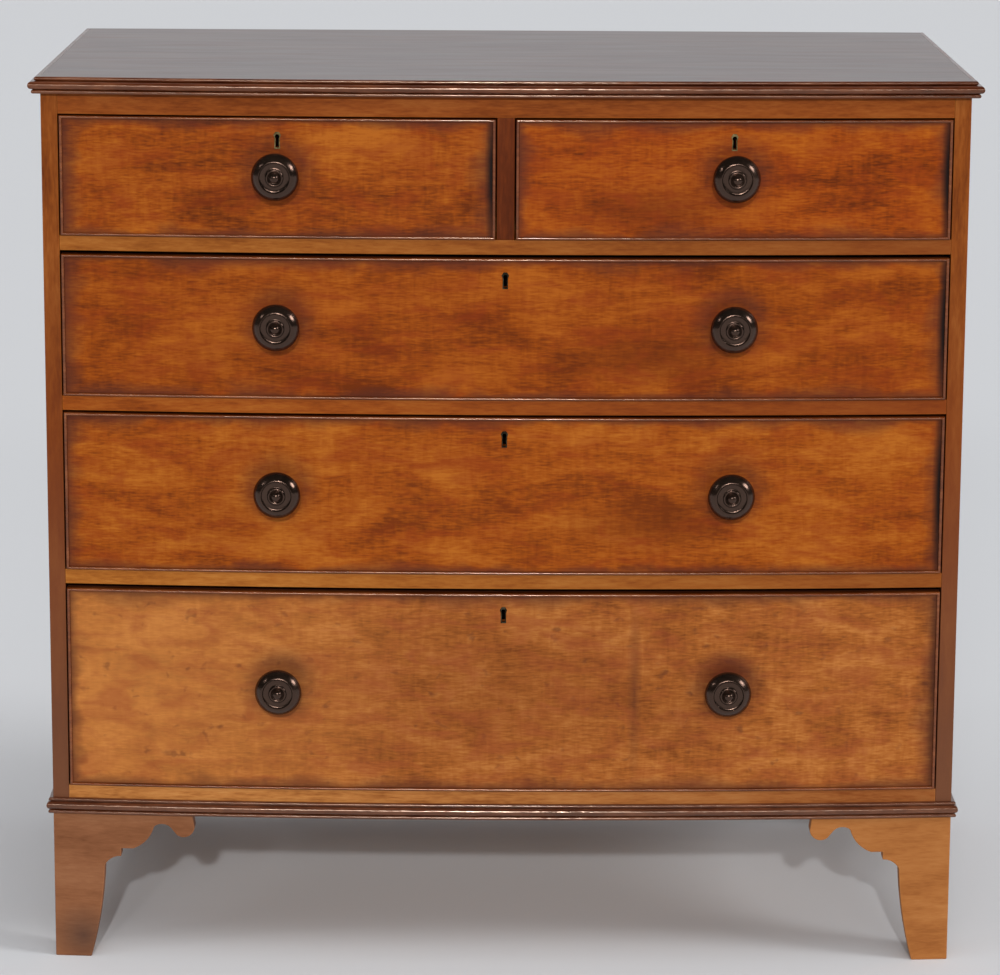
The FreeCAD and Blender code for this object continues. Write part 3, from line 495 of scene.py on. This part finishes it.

# Drawer fronts: bowed planks faced with figured mahogany veneer, polished and since gone cloudy.
# The wood is painted darker inside the beads and round the knobs: old dirt where no cloth reaches, and
# painted shade of the beads and knobs.
DRAWERS = {
    "short_left": ((paint(100, 41, 4), paint(146, 68, 7), paint(172, 94, 22)), 61.3),
    "short_right": ((paint(98, 38, 3), paint(147, 64, 4), paint(170, 88, 15)), 67.9),
    "second": ((paint(104, 42, 3), paint(142, 65, 5), paint(166, 87, 17)), 71.2),
    "third": ((paint(110, 47, 5), paint(150, 72, 9), paint(172, 96, 25)), 79.4),
    "bottom": ((paint(116, 60, 20), paint(156, 88, 34), paint(182, 114, 54)), 83.8),
}
UPPER_FIGURE = {"patch": (0.13, 0.045), "cloud": 1.1, "streak": 0.35, "fleck": 0.6, "ripple": 0.25}
BOTTOM_FIGURE = {"patch": (0.07, 0.04), "cloud": 0.85, "streak": 0.3, "fleck": 0.6, "ripple": 0.25}
LEAST_FRONT_ARRIS = 0.05
BEAD_WIDE = 0.0032
MOTTLE_SHIFT = 40
MARK_DROP = 0.01
upper_red = paint(132, 48, 10)
bottom_red = paint(140, 66, 34)
bleached = paint(198, 128, 64)
red_stain = paint(72, 22, 14)

# Darkening lies thickest at the beads, partly dirt and partly painted shade. Its border is wider at the
# ends of a front than along it, and the right end is nearly black with painted shade, less so on the bottom
# drawer.
DARKENING_PATCH = (0.07, 0.07, 0.04)
DARKENING_SHIFT = 10
BORDER_SPREAD = 0.080
BORDER_START = -0.016
BORDER_NARROWING = 1.6
HALO_SIZE = (0.050, 1, 0.046)
HALO_STRENGTH = 2.4
HALO_LIFT = Vector((0, 0, 0.005))
DARKENING_FADE = 1.2
DARKENING_COVER = 0.9
END_DARKENING_WIDE = 0.009
END_DARKENING_TALL_SHARE = 1.6
END_DARKENING_STRENGTH = 1.3
BOTTOM_END_DARKENING_STRENGTH = 0.5
dirt_and_shade = paint(72, 36, 27)
end_shade_and_dirt = paint(26, 16, 13)


def dirtied_and_shaded(finish, node, knobs):
    """Darkens a front along its borders and round its knobs' feet: old dirt and painted shade."""
    low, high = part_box(node)
    place = step(finish, "TexCoord").outputs["Object"]
    middle = step(finish, "VectorMath", {0: place, 1: (low + high) / 2}, operation="SUBTRACT").outputs[0]
    spread = step(finish, "VectorMath", {0: middle}, operation="ABSOLUTE").outputs[0]
    left = step(finish, "VectorMath", {0: (high - low) / 2, 1: spread}, operation="SUBTRACT").outputs[0]
    sides = step(finish, "SeparateXYZ", {0: left}).outputs
    upright = reckon(finish, "MULTIPLY", sides["Z"], BORDER_NARROWING)
    margin = reckon(finish, "MINIMUM", sides["X"], upright)
    patchy = speckle(finish, DARKENING_PATCH, detail=3, distortion=0.5, shift=low.z * DARKENING_SHIFT)
    reach = reckon(finish, "MULTIPLY_ADD", patchy, BORDER_SPREAD, BORDER_START)
    darkening = reckon(finish, "SUBTRACT", 1, reckon(finish, "DIVIDE", margin, reach))
    darkening = step(finish, "Clamp", {"Value": darkening}).outputs[0]
    # The halo round each knob is old dirt together with a painted shadow of the knob.
    for knob in knobs:
        halo = blot(finish, knob + HALO_LIFT, HALO_SIZE, HALO_STRENGTH)
        darkening = reckon(finish, "MAXIMUM", darkening, reckon(finish, "MULTIPLY", halo, patchy))
    faded = reckon(finish, "POWER", darkening, DARKENING_FADE)
    stained(finish, reckon(finish, "MULTIPLY", faded, DARKENING_COVER), dirt_and_shade)


def marked(finish, across, up, wide, tall, strength, shade):
    """A soft stain on a front, about a place across it and up it."""
    stained(finish, blot(finish, (across, 0, up), (wide, FAR, tall), strength), shade)


knob_places = {}
for drawer, (shades, shift) in DRAWERS.items():
    low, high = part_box(f"{drawer}_knobs")
    middle = (low + high) / 2
    radius = (high.z - low.z) / 2
    single = high.x - low.x < 4 * radius
    stations = [middle.x] if single else [low.x + radius, high.x - radius]
    knob_places[drawer] = [Vector((x, bow_front(x), middle.z)) for x in stations]
    lowest = drawer == "bottom"
    figure = BOTTOM_FIGURE if lowest else UPPER_FIGURE
    finish = wood(f"{drawer}_veneer", FRONT_GRAIN, shades, shift, **figure)
    if lowest:
        marked(finish, across=-0.42, up=middle.z, wide=0.34, tall=0.3, strength=0.55, shade=bleached)
        marked(finish, across=0, up=middle.z, wide=0.26, tall=0.13, strength=0.4, shade=shades[0])
        clouded(finish, spacing=(0.016, 0.016, 0.012), detail=2, distortion=0.3, shift=shift,
                edge=(0.63, 0), heart=(0.75, 0.45), shade=dirt_and_shade)
        marked(finish, across=0.144, up=middle.z, wide=0.009, tall=0.12, strength=0.5, shade=dirt_and_shade)
        marked(finish, across=stations[-1], up=high.z - MARK_DROP, wide=0.036, tall=0.03, strength=1.1,
               shade=red_stain)
    else:
        marked(finish, across=0.15, up=low.z - MARK_DROP, wide=0.11, tall=0.035, strength=0.6,
               shade=shades[0])
    clouded(finish, spacing=(0.045, 0.045, 0.018), detail=3, distortion=0.8, shift=shift + MOTTLE_SHIFT,
            edge=(0.45, 0), heart=(0.7, 0.5), shade=bottom_red if lowest else upper_red)
    front = f"{drawer}_front"
    dirtied_and_shaded(finish, front, knob_places[drawer])
    _, front_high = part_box(front)
    # A near-black strip inside the right-hand bead: painted shade beside the bead, with some dirt.
    marked(finish, across=front_high.x - BEAD_WIDE, up=middle.z, wide=END_DARKENING_WIDE,
           tall=(front_high.z - middle.z) * END_DARKENING_TALL_SHARE,
           strength=BOTTOM_END_DARKENING_STRENGTH if lowest else END_DARKENING_STRENGTH, shade=end_shade_and_dirt)
    eased(front, finish, CRISP_EASE, LEAST_FRONT_ARRIS)

# Drawer boxes and bottoms: thin sides and back of bare oak-brown wood, dovetailed to the fronts, with a
# bottom slid in from behind. Their rubbed, dusty surfaces never saw polish.
LINING_GLOSS = 0.7
lining_shades = (paint(120, 84, 50), paint(164, 124, 80), paint(190, 152, 106))
lining_deep = wood("bare_lining_deep", DEPTH_GRAIN, lining_shades, shift=91.3, gloss=LINING_GLOSS)
lining_across = wood("bare_lining_across", FRONT_GRAIN, lining_shades, shift=93.8, gloss=LINING_GLOSS)
for drawer in DRAWERS:
    dressed(f"{drawer}_box", lining_deep)
    dressed(f"{drawer}_bottom", lining_across)

# Cock beads: thin strips of mahogany let in round each front, standing proud with a rounded nose.
# They are mitred at the corners, and their crowns are rubbed bright, with small dents and chips.
BEAD_DEEP = 0.009
BEAD_DENT = 0.00015
NOSE_STEPS = 8
bead_shades = (paint(66, 24, 6), paint(102, 46, 14), paint(138, 76, 38))
bead_wood = polished("bead_mahogany", bead_shades, shift=97.4)


def bead_section(proud):
    """Distances in from the drawer's edge and out from its face: flat sides and a half-round nose."""
    nose = BEAD_WIDE / 2
    section = [(0, -BEAD_DEEP)]
    for index in range(NOSE_STEPS + 1):
        turn = math.pi * index / NOSE_STEPS
        inset = nose - nose * math.cos(turn)
        section.append((inset, proud - nose + nose * math.sin(turn)))
    return section + [(BEAD_WIDE, -BEAD_DEEP)]


for drawer in DRAWERS:
    node = f"{drawer}_cock_beads"
    low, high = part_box(node)
    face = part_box(f"{drawer}_front")[0].y
    section = bead_section(face - low.y)
    strips = []
    for edge, inward in ((low.z, 1), (high.z, -1)):
        strip = []
        for share in steps_between(0, 1, STRIP_STEP / (high.x - low.x)):
            ring = []
            for inset, out in section:
                x = low.x + inset + share * (high.x - low.x - 2 * inset)
                y = bow_front(x, worn_back(out, x, edge + inset, BEAD_DENT))
                ring.append((x, y, edge + inward * inset))
            strip.append(ring)
        strips.append(strip)
    for edge, inward in ((low.x, 1), (high.x, -1)):
        strip = []
        for share in steps_between(0, 1, STRIP_STEP / (high.z - low.z)):
            ring = []
            for inset, out in section:
                x = edge + inward * inset
                z = low.z + inset + share * (high.z - low.z - 2 * inset)
                ring.append((x, bow_front(x, worn_back(out, z, edge + inset, BEAD_DENT)), z))
            strip.append(ring)
        strips.append(strip)
    fit(skinned(f"{drawer}_beads", strips), node, bead_wood)

# Knobs: turned from dark fruitwood and blackened, with a rolled rim, a hollow, a raised ring and a boss.
# A spigot behind each one is glued through the drawer front.
KNOB_REACH = 0.034
KNOB_TURNS = 72

# The turned outline from back to front, as shares of the knob's radius and of its reach.
KNOB_SHARES = {
    "spigot": ((0.27, -0.60), (0.27, 0.00)),
    "foot": ((0.55, 0.00), (0.55, 0.05)),
    "neck": ((0.50, 0.09), (0.44, 0.15), (0.41, 0.22), (0.43, 0.30), (0.52, 0.37)),
    "underside": ((0.68, 0.43), (0.84, 0.48), (0.94, 0.53)),
    "rim": ((0.985, 0.57), (1.00, 0.61), (0.985, 0.648), (0.95, 0.69)),
    "dome": ((0.90, 0.735), (0.85, 0.772), (0.80, 0.803), (0.75, 0.83), (0.70, 0.851)),
    "lip": ((0.67, 0.859), (0.65, 0.858), (0.637, 0.848), (0.628, 0.83)),
    "hollow": ((0.61, 0.815), (0.57, 0.806), (0.50, 0.80), (0.43, 0.802), (0.39, 0.81)),
    "ring": ((0.375, 0.825), (0.36, 0.843), (0.335, 0.855), (0.31, 0.857), (0.285, 0.85), (0.265, 0.838)),
    "boss": ((0.25, 0.834), (0.237, 0.842), (0.228, 0.86), (0.216, 0.885), (0.198, 0.915)),
    "crown": ((0.172, 0.945), (0.138, 0.97), (0.10, 0.987), (0.05, 0.997), (0.01, 1.00)),
}
knob_shades = (paint(10, 7, 5), paint(20, 14, 10), paint(34, 25, 18))
knob_tint = paint(255, 206, 182)
knob_black = wood("knob_dark", DEPTH_GRAIN, knob_shades, shift=101.5, gloss=0.2, shine=0.9, tint=knob_tint)


def turned(place, radius):
    """The rings of one knob, turned about an axis square to the bow."""
    lean = math.asin(place.x / bow_radius)
    out = Vector((math.sin(lean), -math.cos(lean), 0))
    across = Vector((math.cos(lean), math.sin(lean), 0))
    rings = []
    for stretch in KNOB_SHARES.values():
        for wide, along in stretch:
            ring = []
            for count in range(KNOB_TURNS):
                turn = math.tau * count / KNOB_TURNS
                spoke = across * math.cos(turn) + Vector((0, 0, math.sin(turn)))
                ring.append(place + out * along * KNOB_REACH + spoke * wide * radius)
            rings.append(ring)
    return rings


for drawer, places in knob_places.items():
    node = f"{drawer}_knobs"
    low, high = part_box(node)
    knobs = [turned(place, (high.z - low.z) / 2) for place in places]
    fit(skinned(f"{drawer}_turned_knobs", knobs), node, knob_black)

# Keyholes, locks and bolts: thin brass linings driven into the keyholes, brass locks let in behind the
# fronts and steel bolts that rise into the rails. The brass has dulled and the steel has greyed.
TARNISH = (0.006, 0.006, 0.006)
SCRATCH = (0.012, 0.012, 0.0006)
DARK_TARNISH = 0.3
MIDDLE_TARNISH = 0.5
LIGHT_TARNISH = 0.7
TARNISH_ROUGHNESS = 0.3
SCRATCH_STRENGTH = 0.2
SCRATCH_DEPTH = 0.0001
BRASS_GLOSS = 0.5
KEYHOLE_SIZE = (0.016, 0.05, 0.016)
KEYHOLE_STRENGTH = 3
keyhole_shade = paint(8, 7, 6)
brass_shades = (paint(62, 54, 34), paint(112, 98, 64), paint(150, 134, 94))
dirty_brass_shades = (paint(26, 24, 18), paint(46, 42, 32), paint(84, 78, 62))
steel_shades = (paint(70, 66, 62), paint(120, 116, 110), paint(160, 156, 150))


def metal(name, shades, gloss):
    """Old metal, mottled by tarnish and fine scratches."""
    finish, shader = fresh(name)
    tarnish = speckle(finish, TARNISH, detail=5, distortion=0.6)
    stops = zip((DARK_TARNISH, MIDDLE_TARNISH, LIGHT_TARNISH), shades)
    scratches = speckle(finish, SCRATCH, detail=2)
    relief = {"Height": scratches, "Strength": SCRATCH_STRENGTH, "Distance": SCRATCH_DEPTH}
    least_rough = gloss - TARNISH_ROUGHNESS / 2
    feed(finish, shader, {
        "Base Color": ramp(finish, tarnish, *stops),
        "Roughness": reckon(finish, "MULTIPLY_ADD", tarnish, TARNISH_ROUGHNESS, least_rough),
        "Normal": step(finish, "Bump", relief).outputs["Normal"],
        "Metallic": 1,
    })
    return finish


brass = metal("tarnished_brass", brass_shades, BRASS_GLOSS)
dark_brass = metal("dirty_brass", dirty_brass_shades, gloss=0.6)
steel = metal("grey_steel", steel_shades, gloss=0.45)
for drawer in DRAWERS:
    dressed(f"{drawer}_escutcheon", brass if "short" in drawer else dark_brass)
    low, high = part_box(f"{drawer}_escutcheon")
    lock_brass = metal(f"{drawer}_lock_brass", brass_shades, BRASS_GLOSS)
    # Each lock is painted black behind its keyhole: painted shade seen through the hole.
    keyhole = blot(lock_brass, (low + high) / 2, KEYHOLE_SIZE, KEYHOLE_STRENGTH)
    stained(lock_brass, keyhole, keyhole_shade)
    dressed(f"{drawer}_lock", lock_brass)
    dressed(f"{drawer}_lock_bolt", steel)

# Studio: a wide pale floor with no edge in view, in a room that is pale behind the chest and dark behind
# the camera. A lamp above the camera lights the chest as in the photograph, with a row of faint ones
# beside it, a broad one to the right and a soft ceiling.
FLOOR_REACH = 60
floor_shape = bmesh.new()
bmesh.ops.create_grid(floor_shape, x_segments=1, y_segments=1, size=FLOOR_REACH)
floor_mesh = bpy.data.meshes.new("floor")
floor_shape.to_mesh(floor_mesh)
floor_shape.free()
floor_paint, floor_shader = fresh("floor_paint")
feed(floor_paint, floor_shader, {"Base Color": paint(223, 225, 228), "Roughness": 0.9})
floor_mesh.materials.append(floor_paint)
floor = placed("floor", floor_mesh)

seen_wall = paint(202, 203, 205)
dim_wall = paint(132, 132, 134)
wall_behind_camera = paint(52, 51, 50)
wall_behind_chest = paint(202, 203, 206)
world = bpy.data.worlds.new("pale_room")
world.use_nodes = True
rays = step(world, "LightPath").outputs
direction = step(world, "SeparateXYZ", {0: step(world, "TexCoord").outputs["Generated"]}).outputs["Y"]
backward = reckon(world, "MULTIPLY_ADD", direction, 0.5, 0.5)
mirrored_wall = ramp(world, backward, (0.55, wall_behind_camera), (0.85, wall_behind_chest))
wall = blend(world, rays["Is Glossy Ray"], dim_wall, mirrored_wall)
wall = blend(world, rays["Is Camera Ray"], wall, seen_wall)
feed(world, world.node_tree.nodes["Background"], {"Color": wall, "Strength": 1})
bpy.context.scene.world = world


def far_lamp(name, bearing, height, spread, level, mirrored=True):
    """A lamp far off, by its angles to the right of the front and above the floor, and its width."""
    light = bpy.data.lights.new(name, "SUN")
    light.angle = math.radians(spread)
    light.energy = level
    stand = placed(name, light)
    stand.rotation_euler = (math.radians(90 - height), 0, math.radians(bearing))
    stand.visible_glossy = mirrored


far_lamp("lamp_above_camera", bearing=0, height=22, spread=1.4, level=1.1)
far_lamp("lamp_left_of_camera", bearing=-8, height=20, spread=4, level=0.32)
for count, bearing in enumerate((-15, 8, 15)):
    far_lamp(f"row_lamp_{count + 1}", bearing, height=21, spread=6, level=0.12)
far_lamp("lamp_to_the_right", bearing=70, height=28, spread=17, level=1)
far_lamp("lamp_to_the_left", bearing=-64, height=30, spread=6, level=0.1)
far_lamp("soft_ceiling", bearing=20, height=75, spread=50, level=0.8, mirrored=False)

# Camera: square to the front, a little above the top, with a long lens as in the photograph.
# Its place, turns and lens bring the corners of the chest to where the photograph has them.
IMAGE_WIDTH = 1000
FOCAL_PIXELS = 3982
CAMERA_ASIDE = -0.0140
CAMERA_AWAY = 4.2459
CAMERA_HEIGHT = 1.4294
pitch = math.radians(11.88)
yaw = math.radians(0.129)
roll = math.radians(0.304)
camera_place = Vector((CAMERA_ASIDE, bow_front(half_width) - CAMERA_AWAY, CAMERA_HEIGHT))
ahead = Vector((math.sin(yaw) * math.cos(pitch), math.cos(yaw) * math.cos(pitch), -math.sin(pitch)))
level = Vector((math.cos(yaw), -math.sin(yaw), 0))
upward = level.cross(ahead)
right = level * math.cos(roll) + upward * math.sin(roll)
over = right.cross(ahead)
eye = bpy.data.cameras.new("camera")
eye.sensor_width = 36
eye.lens = FOCAL_PIXELS / IMAGE_WIDTH * eye.sensor_width
camera = placed("camera", eye)
camera.matrix_world = Matrix.Translation(camera_place) @ Matrix((right, over, -ahead)).transposed().to_4x4()
bpy.context.scene.camera = camera
bpy.context.scene.view_settings.view_transform = "Standard"
